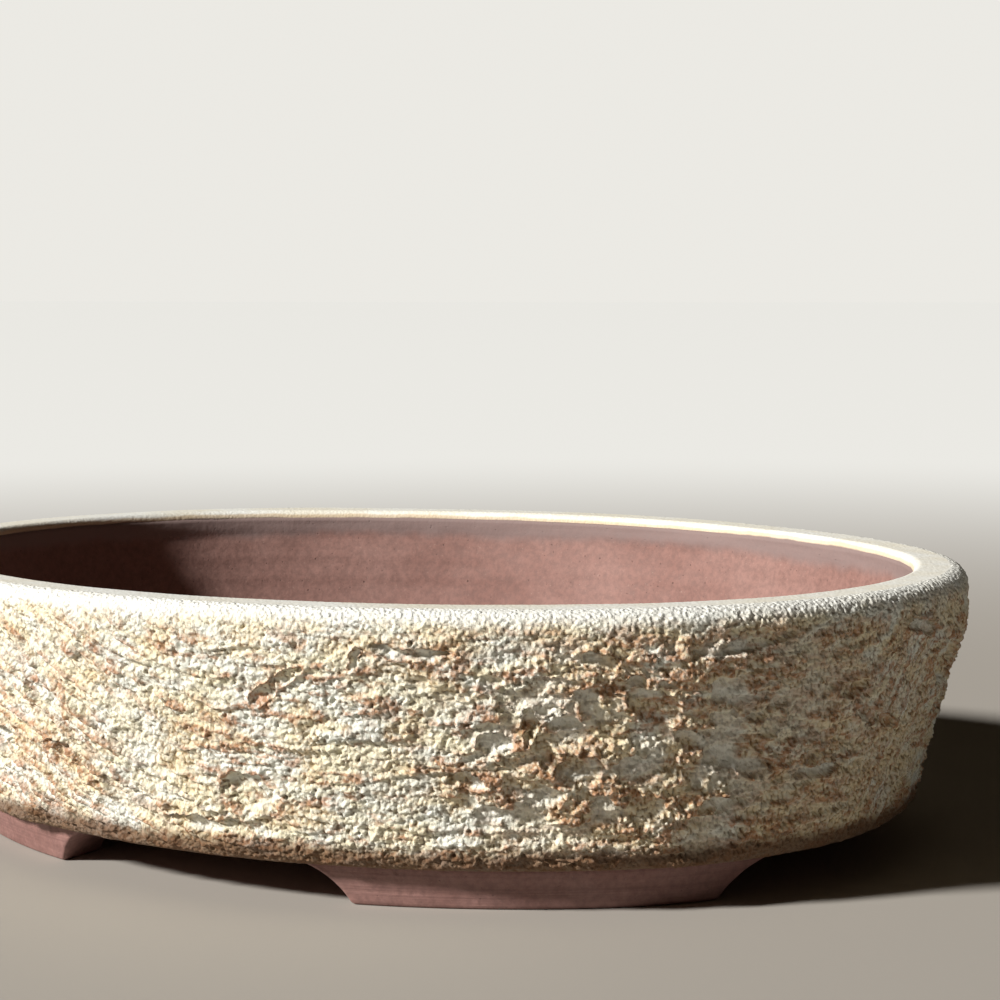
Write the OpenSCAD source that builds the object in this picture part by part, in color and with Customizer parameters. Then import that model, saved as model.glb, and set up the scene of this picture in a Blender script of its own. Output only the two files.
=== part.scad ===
// Oval bonsai pot: a hand-built clay wall and floor on four bracket feet,
// with a thick rough coat outside and a glazed lip.
// The origin is on the ground under the middle of the pot. X runs along it, Y across it.

/* [Body] */
// Length over the widest part of the coat
pot_length = 400; // [360:5:500]
// Width over the widest part of the coat
pot_width = 320; // [260:5:350]
// Height from the ground to the lip
pot_height = 95; // [80:1:140]
// Lean of the outer wall, in degrees from upright
wall_lean = 15; // [5:1:22]

/* [Lip] */
// Breadth of the lip, from the widest outline to the inside edge
lip_width = 18.3; // [14:0.1:26]
// Rounding of the lip's outer edge
lip_round = 6; // [5:0.5:10]
// Rounding of the lip's inner edge
lip_inner_round = 3; // [2.5:0.5:5]
// Height of the upright stretch inside, below the lip
lip_inside_height = 11; // [6:1:20]
// Thickness of the glaze on top of the lip
lip_glaze = 2; // [1:0.1:2.4]

/* [Rough coat] */
// Thickness of the coat on the outside
coat_thickness = 4; // [2.5:0.1:4.8]
// Radius of the bend between the upright lip and the leaning wall
shoulder_round = 60; // [30:5:100]
// Rounding where the coat turns under the pot
base_round = 7; // [6:0.5:12]

/* [Floor] */
// Thickness of the clay floor
floor_thickness = 12; // [8:0.5:16]
// Breadth of the wall where it stands around the floor
wall_foot = 9.6; // [8:0.1:16]
// Radius of the coil that is pressed into the corner inside
seam_round = 12; // [6:1:18]
// Diameter of each drain hole
drain_diameter = 30; // [18:1:36]
// Distance between the two drain holes
drain_spacing = 150; // [100:5:180]
// Diameter of each hole for a tie wire
wire_diameter = 7; // [6:0.5:9]
// Distance between wire holes along the pot
wire_spacing_long = 90; // [60:5:100]
// Distance between wire holes across the pot
wire_spacing_cross = 140; // [100:5:150]

/* [Feet] */
// Height of the feet
foot_height = 13.6; // [10:0.2:18]
// Step in from the coat's lower edge to the top of a foot
foot_step = 3; // [1:0.5:8]
// Breadth of a foot at its top
foot_breadth = 22; // [16:1:30]
// Lean of a foot's outer face, in degrees from upright
foot_lean = 14; // [4:1:20]
// Chamfer around the ground edge of a foot
foot_chamfer = 1.2; // [0.6:0.2:2.5]
// Ground gap between two feet on a long side
side_gap = 114; // [80:2:140]
// Ground gap between two feet at an end
end_gap = 122; // [80:2:140]
// Radius at the two corners of the arch between feet
arch_round = 22; // [18:1:30]

/* [Hidden] */
$fn = 96;

// The plan is the builder's 3-4-5 oval: two end arcs and two side arcs that meet
// on lines through both their centres, so that every inset copy keeps those centres.
// Lengths that the arcs share are kept to a hundredth, so that they meet exactly.
function snap(size) = round(size * 100) / 100;
unit_345 = snap((pot_length - pot_width) / 4);
end_centre = 3 * unit_345;
side_centre = 4 * unit_345;
end_radius = snap(pot_length / 2) - end_centre;
side_radius = end_radius + 5 * unit_345;
// The line through an end centre and a side centre, carried on past the pot
meet_line = [600, 800];

// Heights
floor_top = foot_height + floor_thickness;
lip_bend_z = pot_height - lip_round;
inner_bend_z = pot_height - lip_inner_round;
inner_lean_z = pot_height - lip_inside_height;

// The outer skin as it goes down: lip, shoulder, leaning wall, turn under the base.
// Every inset is measured inwards from the widest outline.
base_bend_z = foot_height + base_round;
lean_start_inset = shoulder_round * (1 - cos(wall_lean));
lean_start_z = lip_bend_z - shoulder_round * sin(wall_lean);
base_inset = lean_start_inset + (lean_start_z - base_bend_z) * tan(wall_lean)
    + base_round / cos(wall_lean);

floor_inset = base_inset + wall_foot;
inner_lean = atan((floor_inset - lip_width) / (inner_lean_z - floor_top));
seam_reach = seam_round * tan((90 - inner_lean) / 2);

foot_top_inset = base_inset + foot_step;
foot_drop = foot_height * tan(foot_lean);
foot_inner_inset = foot_top_inset + foot_breadth;

overshoot = 1;

// The arch's corners would crown a little above the feet, so that each foot's end
// runs out at the top in a blunt edge and not a feather edge.
arch_crown = 0.3;
arch_centre_z = foot_height + arch_crown - arch_round;
arch_corner_reach = sqrt(pow(arch_round, 2) - pow(arch_centre_z, 2));

// Points on an arc in the [inset, height] plane
function arc(centre, radius, from, to, steps) = [
    for (i = [0:steps])
        let (angle = from + (to - from) * i / steps)
            centre + radius * [cos(angle), sin(angle)]
];

// The outer skin at a depth below the surface, from the lip down to the base
function skin(depth) = concat(
    arc([lip_round, lip_bend_z], lip_round - depth, 90, 180, 6),
    arc([shoulder_round, lip_bend_z], shoulder_round - depth, 180 + wall_lean / 4,
        180 + wall_lean, 3),
    arc([base_inset, base_bend_z], base_round - depth, 180 + wall_lean, 270, 5)
);

// The lip's inner edge at a depth below the surface, from the top to the inside
function inner_edge(depth) =
    arc([lip_width - lip_inner_round, inner_bend_z], lip_inner_round - depth, 90, 0, 4);

function backwards(points) = [for (i = [len(points) - 1:-1:0]) points[i]];

// A tall prism over the sector where an end arc rules: between the two lines
// that run from the end centre through the places where the arcs meet
module end_sector() {
    translate([end_centre, 0, -pot_height])
        linear_extrude(3 * pot_height)
            polygon([[0, 0], [meet_line[0], -meet_line[1]], meet_line]);
}

// The same for the side arc at the back
module side_sector() {
    translate([0, -side_centre, -pot_height])
        linear_extrude(3 * pot_height)
            polygon([[0, 0], meet_line, [-meet_line[0], meet_line[1]]]);
}

// A full ring of the section around one centre of the oval
module ring(section, radius) {
    rotate_extrude()
        polygon([for (p = section) [radius - snap(p[0]), snap(p[1])]]);
}

// Carries an [inset, height] section along the end arc on the right
module end_sweep(section) {
    intersection() {
        translate([end_centre, 0, 0])
            ring(section, end_radius);
        end_sector();
    }
}

// Carries an [inset, height] section along the side arc at the back
module side_sweep(section) {
    intersection() {
        translate([0, -side_centre, 0])
            ring(section, side_radius);
        side_sector();
    }
}

// Carries an [inset, height] section right around the oval
module sweep(section) {
    end_sweep(section);
    side_sweep(section);
    mirror([1, 0, 0])
        end_sweep(section);
    mirror([0, 1, 0])
        side_sweep(section);
}

// The plate's middle, between the four centres
module middle_rhombus(thickness) {
    linear_extrude(thickness)
        polygon([[end_centre, 0], [0, side_centre], [-end_centre, 0], [0, -side_centre]]);
}

// The right end and the back side of a flat oval plate, outside its middle
module half_plate(inset, thickness) {
    intersection() {
        translate([end_centre, 0, 0])
            cylinder(r = end_radius - snap(inset), h = thickness);
        end_sector();
    }
    difference() {
        intersection() {
            translate([0, -side_centre, 0])
                cylinder(r = side_radius - snap(inset), h = thickness);
            side_sector();
        }
        middle_rhombus(thickness);
    }
}

// A flat oval plate, its edge inset from the widest outline
module plate(inset, thickness) {
    middle_rhombus(thickness);
    for (turn = [0, 180])
        rotate([0, 0, turn])
            half_plate(inset, thickness);
}

module wall() {
    color("#8a4f43")
        sweep(concat(
            [[lip_round, pot_height - lip_glaze]],
            skin(coat_thickness),
            [
                [base_inset, foot_height],
                [floor_inset, foot_height],
                [floor_inset, floor_top],
                [lip_width, inner_lean_z],
                [lip_width, inner_bend_z]
            ],
            backwards(inner_edge(lip_glaze))
        ));
}

module floor_slab() {
    color("#7d473d")
        difference() {
            translate([0, 0, foot_height])
                plate(floor_inset, floor_thickness);
            for (side = [-1, 1])
                translate([side * drain_spacing / 2, 0, foot_height - overshoot])
                    cylinder(d = drain_diameter, h = floor_thickness + 2 * overshoot);
            for (along = [-1, 1], across = [-1, 1])
                translate([
                    along * wire_spacing_long / 2,
                    across * wire_spacing_cross / 2,
                    foot_height - overshoot
                ])
                    cylinder(d = wire_diameter, h = floor_thickness + 2 * overshoot);
        }
}

// The coil fills the corner between the wall and the floor, smoothed to a hollow curve
module seam_coil() {
    color("#93574a")
        sweep(concat(
            [[floor_inset, floor_top]],
            arc([floor_inset + seam_reach, floor_top + seam_round], seam_round,
                270, 180 + inner_lean, 6)
        ));
}

module rough_coat() {
    color("#d9cba0")
        sweep(concat(skin(0), backwards(skin(coat_thickness))));
}

module lip_glaze() {
    color("#ece9dc")
        sweep(concat(
            [[lip_round, pot_height - lip_glaze], [lip_round, pot_height]],
            inner_edge(0),
            backwards(inner_edge(lip_glaze))
        ));
}

// The open arch between two feet: open above, with a round corner at each end
module arch(gap, reach) {
    straight = gap - 2 * arch_corner_reach;
    rotate([90, 0, 0])
        translate([0, 0, -reach])
            linear_extrude(2 * reach) {
                translate([-straight / 2, -overshoot])
                    square([straight, foot_height + 2 * overshoot]);
                for (side = [-1, 1])
                    translate([side * straight / 2, arch_centre_z])
                        circle(r = arch_round);
            }
}

// One foot: a quarter of the foot ring, cut back by the arches beside it.
// Each direction is 1 or -1, towards the right and towards the back.
module foot(right, back) {
    section = [
        [foot_top_inset, foot_height],
        [foot_top_inset + foot_drop - foot_chamfer * tan(foot_lean), foot_chamfer],
        [foot_top_inset + foot_drop + foot_chamfer, 0],
        [foot_inner_inset - foot_chamfer, 0],
        [foot_inner_inset, foot_chamfer],
        [foot_inner_inset, foot_height]
    ];
    color("#6f3f39")
        mirror([right < 0 ? 1 : 0, 0, 0])
            mirror([0, back < 0 ? 1 : 0, 0])
                difference() {
                    intersection() {
                        union() {
                            end_sweep(section);
                            side_sweep(section);
                        }
                        cube([pot_length, pot_width, foot_height]);
                    }
                    arch(side_gap, pot_width);
                    rotate([0, 0, 90])
                        arch(end_gap, pot_length);
                }
}

wall();
floor_slab();
seam_coil();
rough_coat();
lip_glaze();
foot(-1, -1);  // foot_front_left
foot(1, -1);  // foot_front_right
foot(-1, 1);  // foot_back_left
foot(1, 1);  // foot_back_right
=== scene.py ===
"""Oval bonsai pot with a torn, gritty outer coat, a pale glazed lip and bare clay inside and below.

Every surface is worked out from the pot's plan, a 3-4-5 oval, and its section, a path of arcs.
Lengths are in metres. X runs along the pot, Y across it to the back, Z up from the ground.
"""

import math

import bpy
import numpy as np
from mathutils import Matrix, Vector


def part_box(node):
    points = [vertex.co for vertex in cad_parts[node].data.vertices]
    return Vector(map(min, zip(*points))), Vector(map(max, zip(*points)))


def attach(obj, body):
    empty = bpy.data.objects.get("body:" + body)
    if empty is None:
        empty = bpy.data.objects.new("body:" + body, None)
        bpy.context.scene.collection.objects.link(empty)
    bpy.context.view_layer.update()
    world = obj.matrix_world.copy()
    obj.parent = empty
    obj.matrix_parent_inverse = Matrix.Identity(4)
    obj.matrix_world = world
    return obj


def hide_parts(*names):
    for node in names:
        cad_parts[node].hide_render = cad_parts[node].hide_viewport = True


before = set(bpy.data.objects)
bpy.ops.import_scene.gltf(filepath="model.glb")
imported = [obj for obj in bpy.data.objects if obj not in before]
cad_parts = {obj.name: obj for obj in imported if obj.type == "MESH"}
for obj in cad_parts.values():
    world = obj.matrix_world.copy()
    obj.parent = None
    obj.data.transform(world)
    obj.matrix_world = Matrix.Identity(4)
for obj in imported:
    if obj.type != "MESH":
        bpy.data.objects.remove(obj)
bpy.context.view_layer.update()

MM = 0.001

# ---------------------------------------------------------------- sizes from the frame
HALF_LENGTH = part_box("rough_coat")[1][0]
HALF_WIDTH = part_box("rough_coat")[1][1]
LIP_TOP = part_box("rough_coat")[1][2]
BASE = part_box("rough_coat")[0][2]
FLOOR_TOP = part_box("floor_slab")[1][2]
FLOOR_INSET = HALF_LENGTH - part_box("floor_slab")[1][0]

# ---------------------------------------------------------------- sizes of the section
LIP_WIDTH = 18.3 * MM
LIP_ROUND = 6 * MM
LIP_INNER_ROUND = 3 * MM
LIP_INSIDE_HEIGHT = 11 * MM
LIP_GLAZE = 2 * MM
COAT = 4 * MM
SHOULDER_ROUND = 60 * MM
BASE_ROUND = 7 * MM
WALL_LEAN = math.radians(15)

FOOT_STEP = 3 * MM
FOOT_BREADTH = 22 * MM
FOOT_LEAN = math.radians(14)
SIDE_GAP = 114 * MM
END_GAP = 122 * MM
ARCH_ROUND = 22 * MM
ARCH_CENTRE = BASE + 0.3 * MM - ARCH_ROUND

# ---------------------------------------------------------------- the oval plan
# Two end arcs and two side arcs, met on 3-4-5 triangles between their centres.
UNIT_345 = (HALF_LENGTH - HALF_WIDTH) / 2
END_CENTRE = 3 * UNIT_345
SIDE_CENTRE = 4 * UNIT_345
END_RADIUS = HALF_LENGTH - END_CENTRE
SIDE_RADIUS = END_RADIUS + 5 * UNIT_345
MEET = math.atan2(4, 3)

ARC_RADII = np.array([END_RADIUS, SIDE_RADIUS, END_RADIUS, SIDE_RADIUS, END_RADIUS])
ARC_TURNS = np.array([MEET, math.pi - 2 * MEET, 2 * MEET, math.pi - 2 * MEET, MEET])
ARC_CENTRES = np.array(
    [[END_CENTRE, 0], [0, -SIDE_CENTRE], [-END_CENTRE, 0], [0, SIDE_CENTRE], [END_CENTRE, 0]]
)
ARC_LENGTHS = ARC_RADII * ARC_TURNS
ARC_ENDS = np.cumsum(ARC_LENGTHS)
PERIMETER = ARC_ENDS[-1]


def oval(along):
    """Centre, radius and outward direction of the oval's arc at each length along its widest outline.

    The lengths run anticlockwise from the right-hand end. An angle grows by length over radius.
    """
    along = np.mod(along, PERIMETER)
    arc = np.searchsorted(ARC_ENDS, along, side="right").clip(0, len(ARC_RADII) - 1)
    start = ARC_ENDS[arc] - ARC_LENGTHS[arc]
    first = np.cumsum(ARC_TURNS)[arc] - ARC_TURNS[arc]
    angle = first + (along - start) / ARC_RADII[arc]
    return ARC_CENTRES[arc], ARC_RADII[arc], angle


def place(along, inset, height):
    """Points inset from the widest outline: arc centre plus (radius - inset) along its direction."""
    centre, radius, angle = oval(along)
    reach = radius - inset
    return np.stack(
        [centre[..., 0] + reach * np.cos(angle), centre[..., 1] + reach * np.sin(angle), height],
        axis=-1,
    )


def outward(along, out, up):
    """The direction that goes `out` along the oval's outward direction and `up` along Z."""
    angle = oval(along)[2]
    return np.stack([out * np.cos(angle), out * np.sin(angle), up + 0 * angle], axis=-1)


# ---------------------------------------------------------------- sections
def arc(centre, radius, start, end, steps=24):
    """Points on a circle in the (inset, height) plane, from one angle in degrees to another."""
    angle = np.radians(np.linspace(start, end, steps))
    return np.stack([centre[0] + radius * np.cos(angle), centre[1] + radius * np.sin(angle)], 1)


LIP_BEND = LIP_TOP - LIP_ROUND
BASE_BEND = BASE + BASE_ROUND
LEAN_INSET = SHOULDER_ROUND * (1 - math.cos(WALL_LEAN))
LEAN_START = LIP_BEND - SHOULDER_ROUND * math.sin(WALL_LEAN)
BASE_INSET = (
    LEAN_INSET
    + (LEAN_START - BASE_BEND) * math.tan(WALL_LEAN)
    + BASE_ROUND / math.cos(WALL_LEAN)
)


def skin(depth):
    """The outer section, from the top of the lip down and under the base, at a depth below it."""
    lean = 180 + math.degrees(WALL_LEAN)
    return np.concatenate(
        [
            arc((LIP_ROUND, LIP_BEND), LIP_ROUND - depth, 90, 180),
            arc((SHOULDER_ROUND, LIP_BEND), SHOULDER_ROUND - depth, 181, lean),
            arc((BASE_INSET, BASE_BEND), BASE_ROUND - depth, lean, 270),
        ]
    )


def inner_edge(depth):
    """The rounding of the lip's inner edge, from the inside up to the top, at a depth below it."""
    centre = (LIP_WIDTH - LIP_INNER_ROUND, LIP_TOP - LIP_INNER_ROUND)
    return arc(centre, LIP_INNER_ROUND - depth, 0, 90)


def path_length(path):
    """Length along a path of points, starting at zero."""
    return np.concatenate([[0], np.cumsum(np.hypot(*np.diff(path, axis=0).T))])


def spaced(path, count):
    """The same path, with `count` evenly spaced points."""
    length = path_length(path)
    at = np.linspace(0, length[-1], count)
    return np.stack([np.interp(at, length, path[:, 0]), np.interp(at, length, path[:, 1])], 1)


# The outside in one run: lip's inner edge, over the top, down the wall and under the base.
OUTSIDE = np.concatenate([inner_edge(0), skin(0)])
OUTSIDE_LENGTH = path_length(OUTSIDE)
LIP_RUN = OUTSIDE_LENGTH[len(inner_edge(0))]
BASE_RUN = OUTSIDE_LENGTH[-1]
NORMAL_STEP = 0.4 * MM


def outside(run):
    """Inset, height and outward normal (out, up) of the outer skin at lengths down its section.

    The normal is the section's direction, from a little behind to a little ahead, turned a quarter.
    """
    inset = np.interp(run, OUTSIDE_LENGTH, OUTSIDE[:, 0])
    height = np.interp(run, OUTSIDE_LENGTH, OUTSIDE[:, 1])
    ahead, behind = run + NORMAL_STEP, run - NORMAL_STEP
    go, rise = (
        np.interp(ahead, OUTSIDE_LENGTH, part) - np.interp(behind, OUTSIDE_LENGTH, part)
        for part in OUTSIDE.T
    )
    size = np.hypot(rise, go)
    return inset, height, -rise / size, -go / size


# ---------------------------------------------------------------- fields over the skin
def smooth(low, high, value):
    """0 below low, 1 above high, and an S-curve between them."""
    t = np.clip((value - low) / (high - low), 0, 1)
    return t * t * (3 - 2 * t)


def lattice(along, run, cell_along, cell_run, seed):
    """Smooth random field from -1 to 1: random values on a grid that wraps both ways, S-curved between.

    The cells are `cell_along` by `cell_run` in size, rounded so that a whole number goes round the pot.
    """
    columns = max(2, round(PERIMETER / cell_along))
    rows = 256
    values = np.random.default_rng(seed).uniform(-1, 1, (rows, columns))
    u = along / PERIMETER * columns
    v = run / cell_run
    i, j = np.floor(u).astype(int), np.floor(v).astype(int)
    fu, fv = u - i, v - j
    fu = fu**3 * (fu * (6 * fu - 15) + 10)
    fv = fv**3 * (fv * (6 * fv - 15) + 10)
    i0, i1, j0, j1 = i % columns, (i + 1) % columns, j % rows, (j + 1) % rows
    low = values[j0, i0] * (1 - fu) + values[j0, i1] * fu
    high = values[j1, i0] * (1 - fu) + values[j1, i1] * fu
    return low * (1 - fv) + high * fv


def layered(along, run, cell_along, cell_run, seed, layers=3, fade=0.5):
    """Sum of lattices, each with half the cell size and `fade` times the strength of the one before."""
    total, strength, norm = 0, 1.0, 0.0
    for layer in range(layers):
        shrink = 2.0**layer
        total = total + strength * lattice(
            along, run, cell_along / shrink, cell_run / shrink, seed + layer
        )
        norm += strength
        strength *= fade
    return total / norm


def grains(along, run, cell, seed, size=(0.45, 0.8)):
    """Height of packed round grains, from 0 in the gaps to 1 on the biggest.

    One grain sits at a random place in each cell; a grain is a dome, the square root of one minus
    its squared distance over its squared radius, and the highest dome wins.
    """
    columns = round(PERIMETER / cell)
    rows = 512
    rng = np.random.default_rng(seed)
    shift_u, shift_v = rng.uniform(0.1, 0.9, (2, rows, columns))
    radius = rng.uniform(size[0], size[1], (rows, columns))
    height = rng.uniform(0.55, 1.0, (rows, columns))
    u = along / PERIMETER * columns
    v = run / cell + 4
    i, j = np.floor(u).astype(int), np.floor(v).astype(int)
    best = np.zeros_like(u)
    for di in (-1, 0, 1):
        for dj in (-1, 0, 1):
            ci, cj = (i + di) % columns, (j + dj) % rows
            du = u - (i + di) - shift_u[cj, ci]
            dv = v - (j + dj) - shift_v[cj, ci]
            r = radius[cj, ci]
            dome = np.sqrt(np.clip(1 - (du * du + dv * dv) / (r * r), 0, 1)) * height[cj, ci]
            best = np.maximum(best, dome)
    return best


def round_offset(along, middle):
    """Signed length along the oval from `middle`, the short way round."""
    return np.mod(along - middle + PERIMETER / 2, PERIMETER) - PERIMETER / 2


# Torn places in the coat. Each: middle along the oval, depth down the section, half length,
# half height, slope of its long axis, and how deep it is, all in millimetres but the slope.
TEARS = [
    (900, 45, 6, 2.4, -0.75, 1.9),
    (909, 38, 7, 1.7, -0.6, 1.5),
    (946, 30, 13, 2.2, 0.08, 2.6),
    (928, 32, 1.6, 4.5, 0.3, 2.4),
    (891, 78, 11, 7.0, 0.25, 3.3),
    (870, 90, 14, 3.0, 0.1, 3.0),
    (884, 90, 6, 3.5, 0.5, 2.8),
    (806, 50, 1.8, 3.2, 0.2, 2.8),
    (787, 74, 6, 2.6, 0.5, 2.8),
    (815, 70, 7, 2.4, 0.6, 2.6),
    (842, 82, 12, 1.8, 0.35, 2.0),
    (1001, 32, 7, 2.8, 0.4, 2.6),
    (1009, 40, 6, 3.0, -0.3, 3.0),
    (981, 52, 2.6, 6.5, 0.1, 3.0),
    (991, 52, 6, 3.0, 0.1, 2.4),
    (971, 58, 6, 2.6, 0.0, 2.6),
    (963, 70, 7, 3.2, 0.1, 2.8),
    (1018, 46, 9, 5.5, 0.35, 3.4),
    (997, 67, 8, 5.0, 0.2, 3.2),
    (1032, 58, 9, 2.6, 0.3, 2.6),
    (1049, 66, 15, 5.0, 0.25, 3.4),
    (1045, 80, 10, 3.0, 0.05, 2.6),
    (1082, 72, 12, 2.4, -0.2, 2.4),
    (1050, 28, 14, 3.2, -0.12, 2.4),
    (1124, 30, 12, 2.8, 0.1, 3.0),
    (16, 46, 14, 9.0, 0.1, 3.4),
    (1106, 58, 13, 2.6, 0.3, 1.8),
    (1091, 46, 8, 3.0, -0.3, 2.0),
]
SEEN_FROM, SEEN_TO = 780 * MM, 35 * MM
TEAR_SEED = 71


def all_tears():
    """The placed tears, and more of the same kind scattered over the rest of the pot."""
    tears = [[value * MM for value in tear[:4]] + [tear[4], tear[5] * MM] for tear in TEARS]
    rng = np.random.default_rng(TEAR_SEED)
    places = np.arange(SEEN_TO, SEEN_FROM, 19 * MM)
    for middle in places:
        tears.append(
            [
                middle + rng.uniform(-8, 8) * MM,
                rng.uniform(30, 92) * MM,
                rng.uniform(4, 14) * MM,
                rng.uniform(2, 6) * MM,
                rng.uniform(-0.4, 0.6),
                rng.uniform(2.2, 3.4) * MM,
            ]
        )
    return tears


# Raised places, such as clay pushed up beside a tear: middle along the oval, depth down the
# section, half length, half height and rise, in millimetres.
LUMPS = [
    (24, 33, 20, 8, 2.0),
    (1060, 57, 9, 4, 1.6),
    (1030, 40, 8, 5, 1.2),
    (905, 36, 12, 4, 1.0),
    (882, 82, 12, 5, 1.2),
    (990, 45, 9, 4, 1.0),
    (1010, 60, 10, 5, 1.2),
    (968, 62, 12, 5, 0.8),
    (1045, 74, 10, 4, 1.2),
]


def torn(along, run, rough_along, rough_run):
    """How deep the tears go at each point, how high their rims stand, and a mask of their floors.

    A tear is an ellipse with a ragged outline and a steep edge, steepest above and on the left.
    """
    depth, rim, floor = np.zeros((3,) + along.shape)
    for middle, down, half_length, half_height, slope, deep in all_tears():
        du = round_offset(along, middle)
        near = np.abs(du) < 1.8 * half_length + 6 * MM
        columns = near.any(axis=1)
        du = du[columns]
        turn = math.atan(slope)
        dv = run[columns] - down
        a = (du * math.cos(turn) + dv * math.sin(turn)) + rough_along[columns]
        b = (-du * math.sin(turn) + dv * math.cos(turn)) + rough_run[columns]
        reach = 1 - np.sqrt((a / half_length) ** 2 + (b / half_height) ** 2)
        steep = np.where(b < 0, 0.16, 0.85)
        cut = 0.6 * smooth(0, 1, reach / steep) + 0.4 * np.sqrt(np.clip(reach, 0, 1))
        depth[columns] = np.maximum(depth[columns], 0.85 * cut * deep)
        rim[columns] = np.maximum(rim[columns], np.exp(-((reach / 0.22) ** 2)) * (reach < 0.1))
        floor[columns] = np.maximum(floor[columns], smooth(0.1, 0.4, reach) * (deep > 2.2 * MM))
    return depth, rim, floor


def raised(along, run):
    """Height of the raised places: round bells, the exponential of minus the squared distance."""
    height = np.zeros_like(along)
    for middle, down, half_length, half_height, rise in LUMPS:
        du = round_offset(along, middle * MM) / (half_length * MM)
        dv = (run - down * MM) / (half_height * MM)
        height = height + rise * MM * np.exp(-(du**2) - dv**2)
    return height


# How far streaks drop as they go round: steep over the left of the front, level elsewhere.
SLOPE_MIDDLE, SLOPE_REACH, SLOPE_DROP = 815 * MM, 75 * MM, 60 * MM
LEDGE_PITCH = 8.5 * MM
GRAIN_TOP, CALM_TOP, BUSY_TOP = 12.5 * MM, 18 * MM, 30 * MM
CRAG_MIDDLE, CRAG_REACH = 1016 * MM, 62 * MM
# Where rust and ochre rise over the front-right, the side in the lamp's shade: partly rust, partly
# painted shade browning that side.
RUST_AND_SHADE_FROM, RUST_AND_SHADE_LENGTH = 940 * MM, 440 * MM
DEEPEST, HIGHEST = 3.9 * MM, 3.2 * MM


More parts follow.
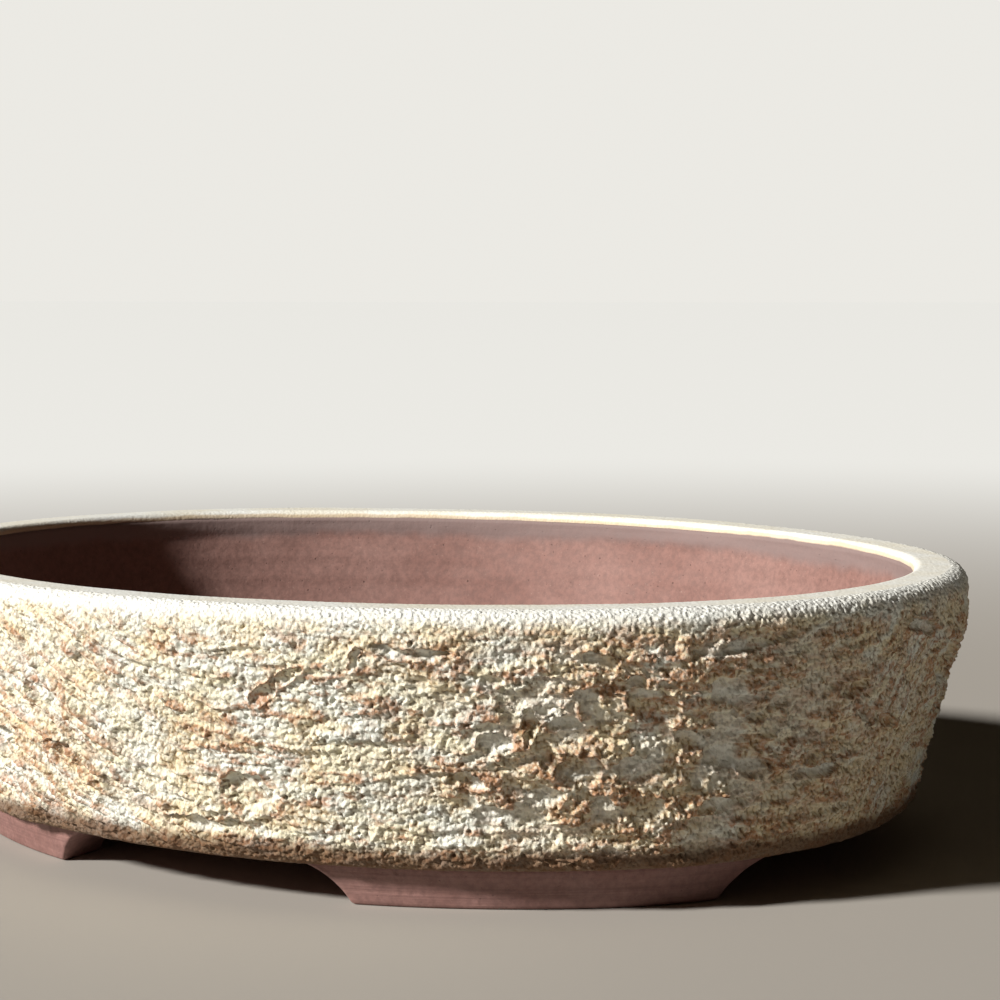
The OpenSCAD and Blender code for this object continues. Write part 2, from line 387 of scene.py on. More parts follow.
def coat_relief(along, run):
    """Relief of the coat in metres, and its masks: rust where the clay shows and ochre, both heavier on
    the front-right as painted shade, pooled glaze, grain height.

    The relief is the sum of slow swells, soft ledges, streaks, broken plateaus where the coat is
    craggy, packed grains, crumbs and placed lumps, less the tears, which have raised rims, and the
    pinholes. It is held above the coat's back, and it fades towards the base.
    """
    wander = layered(along, run, 46 * MM, 14 * MM, 11)
    drop = SLOPE_DROP * smooth(-SLOPE_REACH, SLOPE_REACH, round_offset(along, SLOPE_MIDDLE))
    drop = drop * smooth(0, 260 * MM, along) * (1 - smooth(1100 * MM, PERIMETER, along))
    level = run - drop + 3.2 * MM * wander + 1.1 * MM * layered(along, run, 7 * MM, 4 * MM, 17)

    foot_end = 1 - 0.75 * smooth(BASE_RUN - 9 * MM, BASE_RUN, run)
    busy = smooth(CALM_TOP, BUSY_TOP, run) * foot_end
    grainy = smooth(GRAIN_TOP, GRAIN_TOP + 10 * MM, run)

    swell = 0.9 * MM * layered(along, run, 60 * MM, 28 * MM, 23)

    phase = level / LEDGE_PITCH + 0.9 * lattice(along, run, 50 * MM, 30 * MM, 29)
    step = phase - np.floor(phase)
    ledge_mask = smooth(0.0, 0.5, layered(along, level, 26 * MM, 7 * MM, 31))
    ledge = (smooth(0, 0.7, step) - smooth(0.72, 0.96, step)) * ledge_mask

    streak = layered(along, level, 10 * MM, 1.9 * MM, 37, layers=2, fade=0.35)
    streak_ridge = smooth(0.1, 0.5, streak)
    slanted = np.exp(-((round_offset(along, SLOPE_MIDDLE) / SLOPE_REACH) ** 2))

    crag_here = np.exp(-((round_offset(along, CRAG_MIDDLE) / CRAG_REACH) ** 2))
    crag_here = crag_here * (1 - 0.5 * smooth(78 * MM, 90 * MM, run))
    crag_patch = smooth(0.0, 0.5, layered(along, run, 80 * MM, 40 * MM, 33))
    craggy = np.clip(0.25 + crag_here + 0.55 * crag_patch, 0, 1.15) * smooth(CALM_TOP, 34 * MM, run)
    plateau = smooth(-0.1, 0.14, layered(along, level, 12 * MM, 6.5 * MM, 35, layers=4, fade=0.6))
    chunk = smooth(-0.12, 0.2, layered(along, run, 4.6 * MM, 3.4 * MM, 36, layers=2))

    crumb = layered(along, run, 2.6 * MM, 2.2 * MM, 55, layers=2)
    rough_along = 2.6 * MM * layered(along, run, 8 * MM, 5 * MM, 41) + 0.8 * MM * crumb
    rough_run = 2.0 * MM * layered(along, run, 5 * MM, 5 * MM, 43) + 0.9 * MM * crumb
    tear, rim, tear_floor = torn(along, run, rough_along, rough_run)
    below_lip = smooth(CALM_TOP, CALM_TOP + 6 * MM, run)
    tear, rim = tear * below_lip, rim * below_lip

    coarse = grains(along, run, 1.62 * MM, 51, size=(0.42, 0.72))
    fine = grains(along, run, 1.12 * MM, 53, size=(0.42, 0.72))
    wet = smooth(-0.5, 0.0, lattice(along, run, 12 * MM, 8 * MM, 57))
    low = np.clip(craggy - 0.35, 0, 1) * (1 - plateau)
    pooled = np.clip(np.maximum(tear_floor, 0.8 * low) * wet, 0, 1)
    grit = 0.65 * coarse + 0.35 * fine
    grit_size = 0.09 + 1.02 * grainy * (0.8 + 0.35 * layered(along, run, 18 * MM, 10 * MM, 59))
    grit_size = grit_size * (1 - 0.2 * pooled) * (1 - 0.35 * slanted)

    pin = grains(along, run, 8.5 * MM, 61, size=(0.05, 0.11)) * smooth(CALM_TOP, BUSY_TOP, run)

    relief = (
        swell * (0.3 + 0.7 * busy)
        + 0.9 * MM * (1 + 0.8 * slanted) * (ledge - 0.3) * busy
        + 0.35 * MM * (1 + 3 * slanted) * (streak_ridge - 0.4) * busy
        + MM * craggy * foot_end * (1.5 * (plateau - 0.6) + 0.9 * (chunk - 0.5))
        + MM * grit_size * (grit - 0.5)
        + 0.45 * MM * crumb * busy
        + raised(along, run)
        + 0.8 * MM * rim * busy
        - tear
        - 1.5 * MM * pin
    )
    relief = np.where(relief < 0, -DEEPEST * np.tanh(-relief / DEEPEST), relief)
    relief = np.minimum(relief, HIGHEST)
    base_fade = 1 - smooth(BASE_RUN - 7 * MM, BASE_RUN, run)
    relief = relief * (0.12 + 0.88 * base_fade)

    patch = layered(along, level, 36 * MM, 10 * MM, 73)
    bits = layered(along, level, 7 * MM, 2.4 * MM, 79, layers=2)
    # Painted shade, partly rust: more rust and ochre over the front-right, which lies in the lamp's
    # shade.
    rust_and_shade_brown = 0.5 * np.sin(2 * math.pi * round_offset(along, RUST_AND_SHADE_FROM) / RUST_AND_SHADE_LENGTH)
    rust_and_shade_brown = np.maximum(rust_and_shade_brown, -0.12)
    rust_and_shade_brown = rust_and_shade_brown * (np.abs(round_offset(along, RUST_AND_SHADE_FROM)) < RUST_AND_SHADE_LENGTH / 2)
    patch, bits = patch + rust_and_shade_brown, bits + 0.5 * rust_and_shade_brown
    rust = np.clip(
        0.8 * smooth(0.5, 0.7, step) * ledge_mask * smooth(-0.2, 0.25, patch)
        + smooth(0.26, 0.44, streak + 0.2 * rust_and_shade_brown + 0.16 * slanted)
        * smooth(-0.3, 0.15, patch + 0.3 * slanted)
        + 0.75 * smooth(0.3, 0.46, bits)
        + 1.1 * rim * smooth(-0.45, -0.1, bits) * (tear < 1.2 * MM)
        + 1.1 * craggy * plateau * smooth(0.3, 0.75, chunk) * smooth(-0.1, 0.25, bits + 0.5 * patch),
        0,
        1,
    )
    rust = rust * smooth(GRAIN_TOP + 3 * MM, BUSY_TOP, run) * (1 - pooled)
    ochre = smooth(-0.25, 0.35, layered(along, level, 15 * MM, 8 * MM, 83) + 0.9 * rust_and_shade_brown)
    ochre = ochre * (1 - 0.6 * pooled)
    ochre = ochre * smooth(GRAIN_TOP, BUSY_TOP, run)
    masks = np.stack([rust, ochre, pooled, np.clip(grit, 0, 1)], axis=-1)
    return relief, masks


# ---------------------------------------------------------------- meshes
BAKE_MAP = "OFBake"  # name of the grid map that the tube meshes carry; the export keeps a map of this name


def mesh_object(name, points, faces, uv=None):
    """A smooth-shaded mesh object from points (n, 3) and faces, with an optional map per corner."""
    mesh = bpy.data.meshes.new(name)
    mesh.from_pydata(points.tolist(), [], faces)
    if uv is not None:
        mesh.uv_layers.new(name=BAKE_MAP).data.foreach_set("uv", uv.astype(np.float32).ravel())
    mesh.shade_smooth()
    mesh.update()
    piece = bpy.data.objects.new(name, mesh)
    bpy.context.scene.collection.objects.link(piece)
    return piece


def tube(name, points, closed):
    """A closed body from rings of points (columns, ring, 3), joined column to column.

    Each ring is a closed loop. If the columns don't close too, each end ring becomes a cap.
    """
    columns, ring = points.shape[:2]
    col = np.arange(columns if closed else columns - 1)[:, None]
    row = np.arange(ring)[None, :]
    nxt = (col + 1) % columns
    up = (row + 1) % ring
    quads = np.stack(
        [col * ring + row, col * ring + up, nxt * ring + up, nxt * ring + row], axis=-1
    ).reshape(-1, 4)
    u = np.stack([col, col, col + 1, col + 1], -1) / columns + 0 * row[..., None]
    v = np.stack([row, row + 1, row + 1, row], -1) / ring + 0 * col[..., None]
    uv = np.stack([u, v], -1).reshape(-1, 2)
    faces = quads.tolist()
    if not closed:
        first = np.arange(ring)
        faces.append(first[::-1].tolist())
        faces.append((first + (columns - 1) * ring).tolist())
        cap = np.stack([first / ring, 0 * first], -1)
        uv = np.concatenate([uv, cap, cap])
    return mesh_object(name, points.reshape(-1, 3), faces, uv)


def add_masks(piece, masks):
    """Stores four masks per point as one colour attribute, which the materials read."""
    layer = piece.data.color_attributes.new(name="masks", type="FLOAT_COLOR", domain="POINT")
    layer.data.foreach_set("color", masks.astype(np.float32).reshape(-1))


GRID = 0.46 * MM
HIDDEN_ROWS = 9
HIDDEN_MASKS = np.array([0.5, 0.5, 0.0, 0.5])
COAT_SECTIONS = 6
COLUMNS = COAT_SECTIONS * round(PERIMETER / GRID / COAT_SECTIONS)
LIP_ROWS = round(LIP_RUN / GRID)
COAT_ROWS = round((BASE_RUN - LIP_RUN) / GRID)


def whole_outside():
    """The whole glazed and coated outside on one grid: points, normals and masks.

    A normal is the cross product of the steps to the neighbours round the pot and down it.
    """
    along = np.arange(COLUMNS) / COLUMNS * PERIMETER
    run = np.concatenate(
        [
            np.linspace(0, LIP_RUN, LIP_ROWS, endpoint=False),
            np.linspace(LIP_RUN, BASE_RUN, COAT_ROWS),
        ]
    )
    along, run = np.meshgrid(along, run, indexing="ij")
    relief, masks = coat_relief(along, run)
    inset, height, out, up = outside(run)
    points = place(along, inset, height) + relief[..., None] * outward(along, out, up)
    round_step = np.roll(points, -1, axis=0) - np.roll(points, 1, axis=0)
    normals = np.cross(np.gradient(points, axis=1), round_step)
    normals /= np.linalg.norm(normals, axis=-1, keepdims=True)
    return points, normals, masks


def skin_body(name, columns, rows, under, closed):
    """A body of the outside over some columns and rows, backed by the smooth section `under` it."""
    points, normals, masks = (field[columns][:, rows] for field in OUTSIDE_FIELDS)
    back_along, back_inset = np.meshgrid(
        columns / COLUMNS * PERIMETER, under[::-1, 0], indexing="ij"
    )
    back_height = np.broadcast_to(under[::-1, 1], back_inset.shape)
    back = place(back_along, back_inset, back_height)
    piece = tube(name, np.concatenate([points, back], axis=1), closed)
    back_masks = np.broadcast_to(HIDDEN_MASKS, back.shape[:2] + (4,))
    add_masks(piece, np.concatenate([masks, back_masks], axis=1))
    back_normals = np.zeros(back.shape)
    all_normals = np.concatenate([normals, back_normals], axis=1).reshape(-1, 3)
    piece.data.normals_split_custom_set_from_vertices(all_normals.tolist())
    return piece


def make_coat():
    """The rough coat, cut into sections across the pot so that each mesh stays a workable size."""
    under = spaced(skin(COAT), HIDDEN_ROWS)
    per_section = COLUMNS // COAT_SECTIONS
    rows = slice(LIP_ROWS, None)
    sections = []
    for number in range(COAT_SECTIONS):
        columns = np.arange(number * per_section, (number + 1) * per_section + 1) % COLUMNS
        piece = skin_body(f"rough_coat_{number + 1}", columns, rows, under, closed=False)
        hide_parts("rough_coat")
        sections.append(piece)
    return sections


def make_lip_glaze():
    """The glaze over the flat of the lip, whose relief runs on into the coat's."""
    under = spaced(
        np.concatenate([inner_edge(LIP_GLAZE), [[LIP_ROUND, LIP_TOP - LIP_GLAZE]]]), HIDDEN_ROWS
    )
    columns = np.arange(COLUMNS)
    piece = skin_body("lip_glaze_band", columns, slice(0, LIP_ROWS + 1), under, closed=True)
    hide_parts("lip_glaze")
    return piece


WALL_GRID = 1.5 * MM


def make_wall():
    """The clay wall: a waved inner face, the step that holds the floor, and the covered faces.

    The waves are random fields over length and height, and they fade out at the lip and the floor.
    """
    inner_lean = np.array(
        [
            [LIP_WIDTH, LIP_TOP - LIP_INNER_ROUND],
            [LIP_WIDTH, LIP_TOP - LIP_INSIDE_HEIGHT],
            [FLOOR_INSET, FLOOR_TOP],
        ]
    )
    face = spaced(inner_lean, round(path_length(inner_lean)[-1] / WALL_GRID))
    below = np.array([[FLOOR_INSET, BASE], [BASE_INSET, BASE]])
    behind = spaced(skin(COAT), 3 * HIDDEN_ROWS)[::-1]
    top = inner_edge(LIP_GLAZE)[::-1]
    section = np.concatenate([face, below, behind, [[LIP_ROUND, LIP_TOP - LIP_GLAZE]], top])
    columns = round(PERIMETER / WALL_GRID)
    along, inset = np.meshgrid(
        np.arange(columns) / columns * PERIMETER, section[:, 0], indexing="ij"
    )
    height = np.broadcast_to(section[:, 1], inset.shape)
    waves = 0.7 * MM * layered(along, height, 38 * MM, 15 * MM, 91)
    waves = waves + 0.35 * MM * lattice(along, height, 90 * MM, 4 * MM, 97)
    free = smooth(FLOOR_TOP + 6 * MM, FLOOR_TOP + 20 * MM, height)
    free = free * (1 - smooth(LIP_TOP - 6 * MM, LIP_TOP - 3 * MM, height))
    free[:, len(face):] = 0
    points = place(along, inset + waves * free, height)
    piece = tube("clay_wall", points[:, ::-1], closed=True)
    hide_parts("wall")
    return piece


# ---------------------------------------------------------------- feet
FOOT_EDGE = 1.4 * MM
FOOT_GRID = 0.9 * MM


def cube_grid(cells):
    """Points and outward quads of a box from -1 to 1 whose six sides are grids of the given cells."""
    points, quads, start = [], [], 0
    for axis in range(3):
        u_axis, v_axis = (axis + 1) % 3, (axis + 2) % 3
        for sign in (-1, 1):
            u, v = np.meshgrid(
                np.linspace(-1, 1, cells[u_axis] + 1),
                np.linspace(-1, 1, cells[v_axis] + 1),
                indexing="ij",
            )
            side = np.empty(u.shape + (3,))
            side[..., axis], side[..., u_axis], side[..., v_axis] = sign, u, v
            n_u, n_v = u.shape
            i, j = np.meshgrid(np.arange(n_u - 1), np.arange(n_v - 1), indexing="ij")
            a = start + i * n_v + j
            quad = np.stack([a, a + n_v, a + n_v + 1, a + 1], -1).reshape(-1, 4)
            quads.append(quad if sign > 0 else quad[:, ::-1])
            points.append(side.reshape(-1, 3))
            start += n_u * n_v
    return np.concatenate(points), np.concatenate(quads)


def merged(points, quads, near=1e-4):
    """The same surface with points that share a place made one."""
    keys = np.round(points / near).astype(np.int64)
    _, first, back = np.unique(keys, axis=0, return_index=True, return_inverse=True)
    return points[first], back.reshape(-1)[quads]


def along_where(value_at, target, low, high):
    """The length along the oval, between low and high, where value_at reaches target, by halving."""
    low, high = np.full_like(target, low), np.full_like(target, high)
    rising = value_at(high) > value_at(low)
    for _ in range(40):
        middle = (low + high) / 2
        below = (value_at(middle) < target) == rising
        low, high = np.where(below, middle, low), np.where(below, high, middle)
    return (low + high) / 2


def make_foot(name, right, back):
    """A bracket foot: a block with rounded edges, bent round the oval between its two arches.

    Across it, the outer face leans in as it goes down. Its ends follow circles that crown just
    above it, so that it is longer at the top than on the ground.
    """
    long_size, tall, broad = 150 * MM, BASE, FOOT_BREADTH
    half = np.array([long_size, broad, tall]) / 2
    cells = [round(2 * size / FOOT_GRID) for size in half]
    cube, quads = merged(*cube_grid(cells))
    block = cube * half
    core = np.clip(block, -half + FOOT_EDGE, half - FOOT_EDGE)
    push = block - core
    size = np.linalg.norm(push, axis=1, keepdims=True)
    block = core + push / np.maximum(size, 1e-9) * np.minimum(size, FOOT_EDGE)
    share = (block[:, 0] / half[0] + 1) / 2
    height = block[:, 2] + half[2]
    depth = block[:, 1] + half[1]
    seed = 101 + 7 * right + 3 * back
    lean = (tall - height) * math.tan(FOOT_LEAN) * (1 - depth / broad)
    inset = BASE_INSET + FOOT_STEP + lean + depth
    ground_reach = math.sqrt(ARCH_ROUND**2 - ARCH_CENTRE**2)
    curve = np.sqrt(np.clip(ARCH_ROUND**2 - (height - ARCH_CENTRE) ** 2, 0, None)) - ground_reach
    end_y = END_GAP / 2 + curve
    side_x = SIDE_GAP / 2 + curve
    quarter = PERIMETER / 4
    start = along_where(lambda s: place(s, inset, height)[:, 1], end_y, 0, quarter)
    finish = along_where(lambda s: place(s, inset, height)[:, 0], side_x, 0, quarter)
    along = start + (finish - start) * share
    outer = 1 - smooth(0, 2 * MM, depth)
    turning = 0.16 * MM * lattice(along, height, 120 * MM, 1.1 * MM, seed)
    lumps = 0.35 * MM * layered(along, height + depth, 16 * MM, 7 * MM, seed + 31)
    pimples = 0.5 * MM * grains(along, height + depth, 7 * MM, seed + 61, size=(0.04, 0.1))
    free = smooth(0, 2 * MM, height) * (1 - smooth(tall - 1.5 * MM, tall, height))
    inset = inset - (turning * outer + lumps + pimples * outer) * free * outer
    points = place(along, inset, height)
    points = points * np.array([right, back, 1])
    if right * back < 0:
        quads = quads[:, ::-1]
    piece = mesh_object(name + "_clay", points, quads.tolist())
    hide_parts(name)
    return piece


# ---------------------------------------------------------------- shader tools
def feed(tree, socket, value):
    """Links another socket to a socket, or sets a plain value on it."""
    if isinstance(value, bpy.types.NodeSocket):
        tree.links.new(value, socket)
    else:
        socket.default_value = value


def put(tree, kind, settings=None, **inputs):
    """Adds a node. Inputs are named, `_` for a space, or numbered, as in i0."""
    node = tree.nodes.new("ShaderNode" + kind)
    for key, value in (settings or {}).items():
        setattr(node, key, value)
    for key, value in inputs.items():
        by_number = key[0] == "i" and key[1:].isdigit()
        feed(tree, node.inputs[int(key[1:]) if by_number else key.replace("_", " ")], value)
    return node


def maths(tree, operation, a, b=0.0):
    """A Math node's value."""
    return put(tree, "Math", {"operation": operation}, i0=a, i1=b).outputs[0]


def ramp(tree, value, low, high, to_low=0.0, to_high=1.0):
    """Maps low..high to to_low..to_high in an S-curve."""
    settings = {"interpolation_type": "SMOOTHSTEP"}
    node = put(tree, "MapRange", settings, Value=value, From_Min=low, From_Max=high)
    node.inputs["To Min"].default_value = to_low
    node.inputs["To Max"].default_value = to_high
    return node.outputs[0]


def blend(tree, factor, a, b, how="MIX"):
    """Mixes two colours."""
    node = put(tree, "Mix", {"data_type": "RGBA", "blend_type": how}, i0=factor, i6=a, i7=b)
    return node.outputs[2]


def noise(tree, vector, scale, detail=4.0, roughness=0.55):
    """A Noise Texture's value."""
    settings = dict(Vector=vector, Scale=scale, Detail=detail, Roughness=roughness)
    return put(tree, "TexNoise", None, **settings).outputs[0]


def stretched(tree, vector, scale):
    """The vector with each axis scaled."""
    return put(tree, "Mapping", None, Vector=vector, Scale=scale).outputs[0]


def new_group(name, inputs, outputs):
    """A shader node group with float or colour sockets, and its input and output nodes."""
    tree = bpy.data.node_groups.new(name, "ShaderNodeTree")
    for label, kind in inputs:
        tree.interface.new_socket(name=label, in_out="INPUT", socket_type="NodeSocket" + kind)
    for label, kind in outputs:
        tree.interface.new_socket(name=label, in_out="OUTPUT", socket_type="NodeSocket" + kind)
    return tree, tree.nodes.new("NodeGroupInput"), tree.nodes.new("NodeGroupOutput")


def use_group(tree, group, **inputs):
    """Places a group in a tree."""
    return put(tree, "Group", {"node_tree": group}, **inputs)


def new_material(name, roughness, specular=0.5):
    """An empty material with a Principled BSDF; returns the material, its tree and the shader."""
    material = bpy.data.materials.new(name)
    material.use_nodes = True
    tree = material.node_tree
    shader = tree.nodes["Principled BSDF"]
    shader.inputs["Roughness"].default_value = roughness
    shader.inputs["Specular IOR Level"].default_value = specular
    return material, tree, shader


def bump(tree, shader, height, distance, strength=1.0):
    """Feeds a height into the shader's normal."""
    node = put(tree, "Bump", None, Height=height, Distance=distance, Strength=strength)
    tree.links.new(node.outputs[0], shader.inputs["Normal"])


def dress(piece, material):
    """Gives a piece one material."""
    piece.data.materials.clear()
    piece.data.materials.append(material)


# ---------------------------------------------------------------- shared effects
def fired_clay_group():
    """Bare fired clay: mottled colour with iron specks and pale sand, and a fine sandy height."""
    group, given, result = new_group(
        "fired clay",
        [("Ground", "Color"), ("Flushed", "Color"), ("Sand", "Float")],
        [("Color", "Color"), ("Height", "Float"), ("Roughness", "Float")],
    )
    where = put(group, "TexCoord").outputs["Object"]
    cloud = ramp(group, noise(group, where, 22, 5, 0.6), 0.35, 0.68)
    colour = blend(group, cloud, given.outputs["Ground"], given.outputs["Flushed"])
    fine = noise(group, where, 420, 4, 0.7)
    shade = ramp(group, fine, 0.3, 0.7, 0.82, 1.14)
    shade_colour = put(group, "CombineColor", None, Red=shade, Green=shade, Blue=shade).outputs[0]
    colour = blend(group, 1.0, colour, shade_colour, "MULTIPLY")
    cells = put(group, "TexVoronoi", None, Vector=where, Scale=520.0)
    speck_pick = ramp(group, noise(group, where, 900, 1), 0.62, 0.72)
    speck = maths(group, "MULTIPLY", ramp(group, cells.outputs["Distance"], 0.32, 0.12), speck_pick)
    colour = blend(group, maths(group, "MULTIPLY", speck, 0.6), colour, (0.035, 0.02, 0.018, 1))
    pale = ramp(group, noise(group, where, 1100, 2, 0.6), 0.64, 0.78)
    sand = maths(group, "MULTIPLY", pale, given.outputs["Sand"])
    colour = blend(group, sand, colour, (0.62, 0.5, 0.42, 1))
    broad = noise(group, where, 130, 3, 0.5)
    fine_share = maths(group, "MULTIPLY", fine, 0.45)
    height = maths(group, "ADD", maths(group, "MULTIPLY", broad, 0.55), fine_share)
    height = maths(group, "ADD", height, maths(group, "MULTIPLY", speck, -0.35))
    group.links.new(colour, result.inputs["Color"])
    group.links.new(height, result.inputs["Height"])
    group.links.new(ramp(group, fine, 0.3, 0.75, 0.72, 0.9), result.inputs["Roughness"])
    return group


def grit_group():
    """Grit in a glaze or coat: a pebbly height, and a mask of its tops for a painted highlight."""
    group, given, result = new_group(
        "grit", [("Size", "Float")], [("Height", "Float"), ("Top highlight", "Float")]
    )
    where = put(group, "TexCoord").outputs["Object"]
    size = put(group, "VectorMath", {"operation": "SCALE"}, Vector=where, Scale=given.outputs["Size"])
    small = put(group, "TexVoronoi", {"feature": "SMOOTH_F1"}, Vector=size.outputs[0], Scale=1.0)
    pebble = ramp(group, small.outputs["Distance"], 0.75, 0.05)
    dust = noise(group, size.outputs[0], 3.1, 4, 0.65)
    dust_share = maths(group, "MULTIPLY", dust, 0.4)
    height = maths(group, "ADD", maths(group, "MULTIPLY", pebble, 0.6), dust_share)
    group.links.new(height, result.inputs["Height"])
    group.links.new(ramp(group, height, 0.42, 0.72), result.inputs["Top highlight"])
    return group


FIRED_CLAY = fired_clay_group()
GRIT = grit_group()

CREAM = (0.83, 0.77, 0.57, 1)
ASH_WHITE = (0.78, 0.79, 0.71, 1)
OCHRE = (0.7, 0.54, 0.31, 1)
RUST = (0.43, 0.2, 0.095, 1)
# Painted shade for the gaps between the grains.
GAP_SHADE_BROWN = (0.17, 0.095, 0.04, 1)
POOL_WHITE = (0.8, 0.8, 0.73, 1)
LIP_WHITE = (0.86, 0.87, 0.83, 1)
LIP_CREAM = (0.82, 0.79, 0.68, 1)
# Painted shade for the gaps between the lip's grains.
LIP_GAP_SHADE = (0.45, 0.36, 0.22, 1)
LIP_LINE = (0.6, 0.43, 0.22, 1)
LIP_BARE = (0.25, 0.185, 0.17, 1)
BASE_DARK = (0.14, 0.07, 0.033, 1)
PINK_CLAY = (0.238, 0.129, 0.108, 1)
PINK_FLUSH = (0.292, 0.17, 0.145, 1)
GREY_FLASH = (0.25, 0.19, 0.18, 1)
MAUVE_CLAY = (0.22, 0.11, 0.095, 1)
MAUVE_FLUSH = (0.29, 0.16, 0.14, 1)
TURNED_DARK = (0.13, 0.06, 0.055, 1)


def mask_sockets(tree):
    """The four masks of the skin: rust and ochre, which carry painted shade browning the front-right,
    pooled glaze and grain height.
    """
    attribute = put(tree, "Attribute", {"attribute_name": "masks"})
    split = put(tree, "SeparateColor", None, Color=attribute.outputs["Color"])
    return *split.outputs[:3], attribute.outputs["Alpha"]


def coat_material():
    """The torn coat: cream and ash-white grit over ochre, with rust where the clay breaks through,
    painted shade in the gaps between grains and a painted highlight on the grit's tops.
    """
    material, tree, shader = new_material("gritty coat", 0.85, 0.3)
    rust, ochre, pool, grain = mask_sockets(tree)
    grit = use_group(tree, GRIT, Size=900.0)
    where = put(tree, "TexCoord").outputs["Object"]
    drift = ramp(tree, noise(tree, stretched(tree, where, (1, 1, 2)), 60, 4, 0.6), 0.4, 0.58)
    colour = blend(tree, drift, CREAM, ASH_WHITE)
    # Painted shade: dark brown laid into the gaps between the grains, where the grains' own shadow
    # falls.
    gap_shade = ramp(tree, grain, 0.45, 0.08)
    ochre_share = maths(tree, "MULTIPLY", ochre, ramp(tree, grain, 0.8, 0.25, 0.4, 1.0))
    colour = blend(tree, maths(tree, "MULTIPLY", ochre_share, 0.8), colour, OCHRE)
    ragged = maths(tree, "MULTIPLY", rust, ramp(tree, noise(tree, where, 330, 4, 0.7), 0.34, 0.56))
    colour = blend(tree, maths(tree, "MULTIPLY", ragged, 0.85), colour, RUST)
    colour = blend(tree, maths(tree, "MULTIPLY", gap_shade, 0.75), colour, GAP_SHADE_BROWN)
    # Painted highlight: the tops of the grit lightened towards ash white.
    colour = blend(tree, maths(tree, "MULTIPLY", grit.outputs["Top highlight"], 0.25), colour, ASH_WHITE)
    colour = blend(tree, maths(tree, "MULTIPLY", pool, 0.75), colour, POOL_WHITE)
    height_z = put(tree, "SeparateXYZ", None, Vector=where).outputs["Z"]
    lip = ramp(tree, height_z, LIP_TOP - 6 * MM, LIP_TOP - 0.5 * MM)
    colour = blend(tree, maths(tree, "MULTIPLY", lip, 0.85), colour, LIP_WHITE)
    # Darker towards the base: a frayed dark band along the bottom of the coat.
    frayed = maths(tree, "MULTIPLY", noise(tree, where, 90, 3, 0.6), -6 * MM)
    base = ramp(tree, maths(tree, "ADD", height_z, frayed), BASE + 7 * MM, BASE + 1.5 * MM)
    colour = blend(tree, maths(tree, "MULTIPLY", base, 0.9), colour, BASE_DARK)
    tree.links.new(colour, shader.inputs["Base Color"])
    rough = blend_value(tree, pool, 0.88, 0.55)
    tree.links.new(rough, shader.inputs["Roughness"])
    bump(tree, shader, grit.outputs["Height"], 0.6 * MM, 1.0)
    return material


def blend_value(tree, factor, a, b):
    """Mixes two values."""
    return put(tree, "Mix", None, i0=factor, i2=a, i3=b).outputs[0]


def lip_material():
    """The pale lip: sandy white glaze that ends inside in a thin ochre line above bare clay."""
    material, tree, shader = new_material("lip glaze", 0.7, 0.4)
    grit = use_group(tree, GRIT, Size=1100.0)
    where = put(tree, "TexCoord").outputs["Object"]
    grain = mask_sockets(tree)[3]
    drift = ramp(tree, noise(tree, where, 30, 4, 0.6), 0.35, 0.65)
    colour = blend(tree, drift, LIP_WHITE, LIP_CREAM)
    # Painted shade: a darker tone laid lightly into the gaps between the lip's grains.
    gap_shade = ramp(tree, grain, 0.55, 0.15)
    colour = blend(tree, maths(tree, "MULTIPLY", gap_shade, 0.15), colour, LIP_GAP_SHADE)
    height_z = put(tree, "SeparateXYZ", None, Vector=where).outputs["Z"]
    wander = maths(tree, "MULTIPLY", noise(tree, where, 45, 3), 2.4 * MM)
    edge = ramp(tree, maths(tree, "ADD", height_z, wander), LIP_TOP + 0.2 * MM, LIP_TOP - 0.7 * MM)
    colour = blend(tree, maths(tree, "MULTIPLY", edge, 0.6), colour, LIP_LINE)
    bare = ramp(tree, maths(tree, "ADD", height_z, wander), LIP_TOP - 1.3 * MM, LIP_TOP - 2.1 * MM)
    colour = blend(tree, bare, colour, LIP_BARE)
    tree.links.new(colour, shader.inputs["Base Color"])
    tree.links.new(ramp(tree, grit.outputs["Height"], 0.3, 0.7, 0.6, 0.85), shader.inputs["Roughness"])
    bump(tree, shader, grit.outputs["Height"], 0.16 * MM, 0.7)
    return material


def inside_clay_material():
    """The bare inside: pinkish red-brown clay with a greyish-purple flash below the lip."""
    material, tree, shader = new_material("inside clay", 0.82, 0.35)
    where = put(tree, "TexCoord").outputs["Object"]
    clay = use_group(tree, FIRED_CLAY, Ground=PINK_CLAY, Flushed=PINK_FLUSH, Sand=0.2)
    height_z = put(tree, "SeparateXYZ", None, Vector=where).outputs["Z"]
    runs = noise(tree, stretched(tree, where, (1, 1, 0.5)), 38, 4, 0.6)
    ragged = maths(tree, "MULTIPLY", runs, 9 * MM)
    flash = ramp(tree, maths(tree, "ADD", height_z, ragged), LIP_TOP - 8 * MM, LIP_TOP - 3 * MM)
    colour = blend(tree, maths(tree, "MULTIPLY", flash, 0.8), clay.outputs["Color"], GREY_FLASH)
    tree.links.new(colour, shader.inputs["Base Color"])
    tree.links.new(clay.outputs["Roughness"], shader.inputs["Roughness"])
    wiped = noise(tree, stretched(tree, where, (12, 12, 220)), 1.0, 3, 0.5)
    height = maths(tree, "ADD", clay.outputs["Height"], maths(tree, "MULTIPLY", wiped, 0.5))
    bump(tree, shader, height, 0.5 * MM, 0.7)
    return material


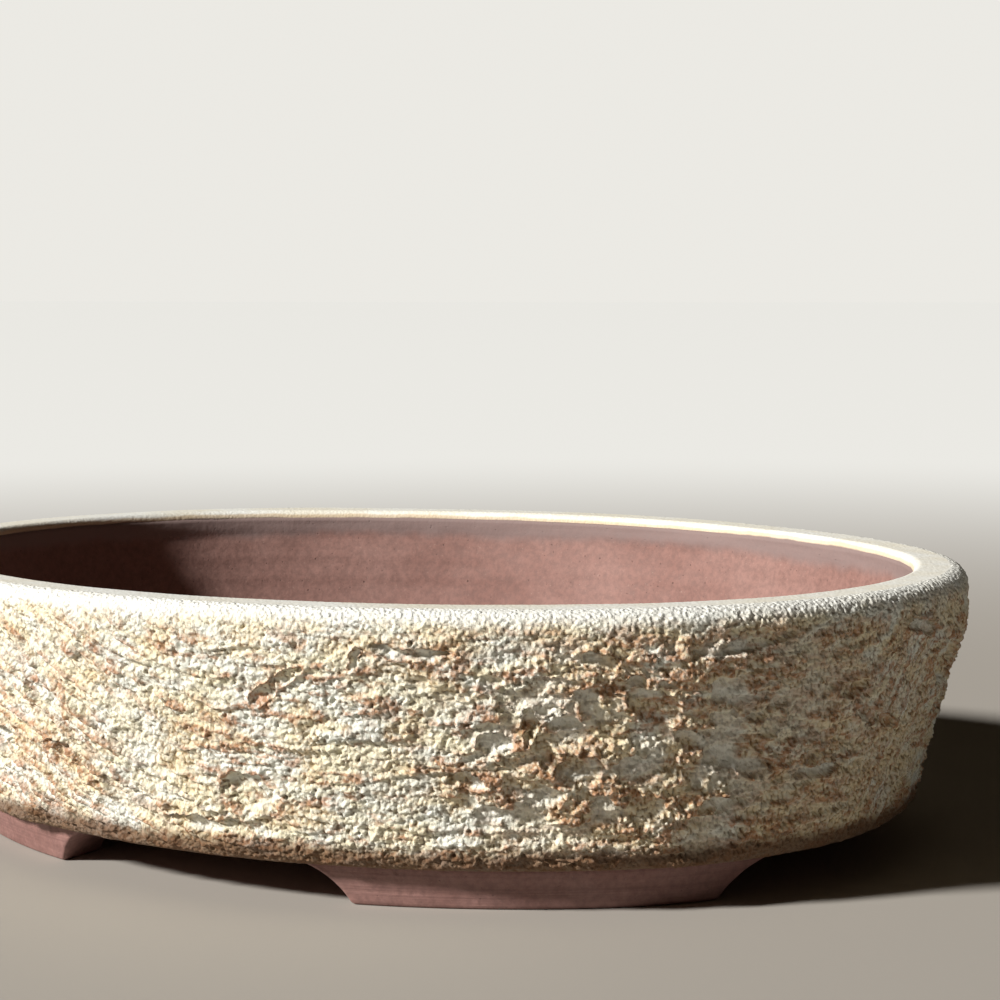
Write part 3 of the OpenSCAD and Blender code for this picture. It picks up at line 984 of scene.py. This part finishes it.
def foot_clay_material():
    """The feet: darker mauve-brown clay with close turning lines and a slight sheen."""
    material, tree, shader = new_material("foot clay", 0.6, 0.45)
    where = put(tree, "TexCoord").outputs["Object"]
    clay = use_group(tree, FIRED_CLAY, Ground=MAUVE_CLAY, Flushed=MAUVE_FLUSH, Sand=0.15)
    lines = noise(tree, stretched(tree, where, (6, 6, 900)), 1.0, 3, 0.6)
    streaks = ramp(tree, lines, 0.35, 0.7)
    colour = blend(tree, maths(tree, "MULTIPLY", streaks, 0.3), clay.outputs["Color"], TURNED_DARK)
    tree.links.new(colour, shader.inputs["Base Color"])
    rough = ramp(tree, noise(tree, where, 60, 3), 0.35, 0.65, 0.5, 0.75)
    tree.links.new(rough, shader.inputs["Roughness"])
    height = maths(tree, "ADD", clay.outputs["Height"], maths(tree, "MULTIPLY", lines, 0.8))
    bump(tree, shader, height, 0.35 * MM, 0.8)
    return material


# ---------------------------------------------------------------- the pot
coat = coat_material()
inside_clay = inside_clay_material()
foot_clay = foot_clay_material()

OUTSIDE_FIELDS = whole_outside()
pieces = make_coat()
for section in pieces:
    dress(section, coat)
lip_band = make_lip_glaze()
dress(lip_band, lip_material())
wall = make_wall()
dress(wall, inside_clay)
pieces += [lip_band, wall]
for name, right, back in (
    ("foot_front_left", -1, -1),
    ("foot_front_right", 1, -1),
    ("foot_back_left", -1, 1),
    ("foot_back_right", 1, 1),
):
    foot = make_foot(name, right, back)
    dress(foot, foot_clay)
    pieces.append(foot)
for piece in pieces:
    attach(piece, "root")
for name in ("floor_slab", "seam_coil"):
    dress(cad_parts[name], inside_clay)


# ---------------------------------------------------------------- stage, light and camera
GROUND_REACH = 30.0
PALING = (0.35, 1.9)  # distances from the pot between which the ground pales
NEAR_GROUND = (0.39, 0.365, 0.33, 1)
FAR_GROUND = (0.891, 0.911, 0.906, 1)


def make_floor():
    """A plain ground that pales with distance until it meets the backdrop unseen."""
    corners = np.array([[-1, -1, 0], [1, -1, 0], [1, 1, 0], [-1, 1, 0]], float) * GROUND_REACH
    floor = mesh_object("floor", corners, [[0, 1, 2, 3]])
    material, tree, shader = new_material("pale ground", 0.8, 0.2)
    where = put(tree, "TexCoord").outputs["Object"]
    away = put(tree, "VectorMath", {"operation": "LENGTH"}, i0=where).outputs["Value"]
    far = ramp(tree, away, *PALING)
    tree.links.new(blend(tree, far, NEAR_GROUND, FAR_GROUND), shader.inputs["Base Color"])
    dress(floor, material)


CAMERA_PLACE = (0.469, -0.7289, 0.1874)
CAMERA_YAW, CAMERA_PITCH, CAMERA_ROLL = 0.5341, -0.0863, -0.002
LENS = 87.8


def add_camera():
    """The camera, low and to the right of the front, with a long lens."""
    data = bpy.data.cameras.new("camera")
    data.lens = LENS
    data.sensor_width = 36
    data.clip_end = 100
    camera = bpy.data.objects.new("camera", data)
    turn = (
        Matrix.Rotation(CAMERA_YAW, 4, "Z")
        @ Matrix.Rotation(math.pi / 2 + CAMERA_PITCH, 4, "X")
        @ Matrix.Rotation(CAMERA_ROLL, 4, "Z")
    )
    camera.matrix_world = Matrix.Translation(CAMERA_PLACE) @ turn
    bpy.context.scene.collection.objects.link(camera)
    bpy.context.scene.camera = camera


KEY_BEARING = math.radians(236)  # anticlockwise from +X, towards the lamp
KEY_RISE = math.radians(30)
KEY_SOFTNESS = math.radians(7)
KEY_STRENGTH = 6.0
KEY_COLOUR = (1.0, 0.97, 0.93)
BACKGROUND = (0.835, 0.82, 0.775, 1)
SURROUND_LIGHT = (0.026, 0.02, 0.013, 1)


def light_scene():
    """One key lamp from the left front, a dim surround and a pale backdrop."""
    sun = bpy.data.lights.new("key", "SUN")
    sun.energy = KEY_STRENGTH
    sun.angle = KEY_SOFTNESS
    sun.color = KEY_COLOUR
    key = bpy.data.objects.new("key", sun)
    key.rotation_euler = (0, math.pi / 2 - KEY_RISE, KEY_BEARING)
    bpy.context.scene.collection.objects.link(key)
    world = bpy.data.worlds.new("surround")
    world.use_nodes = True
    tree = world.node_tree
    background = tree.nodes["Background"]
    seen = put(tree, "LightPath").outputs["Is Camera Ray"]
    tree.links.new(blend(tree, seen, SURROUND_LIGHT, BACKGROUND), background.inputs["Color"])
    bpy.context.scene.world = world
    bpy.context.scene.view_settings.view_transform = "Standard"


make_floor()
light_scene()
add_camera()
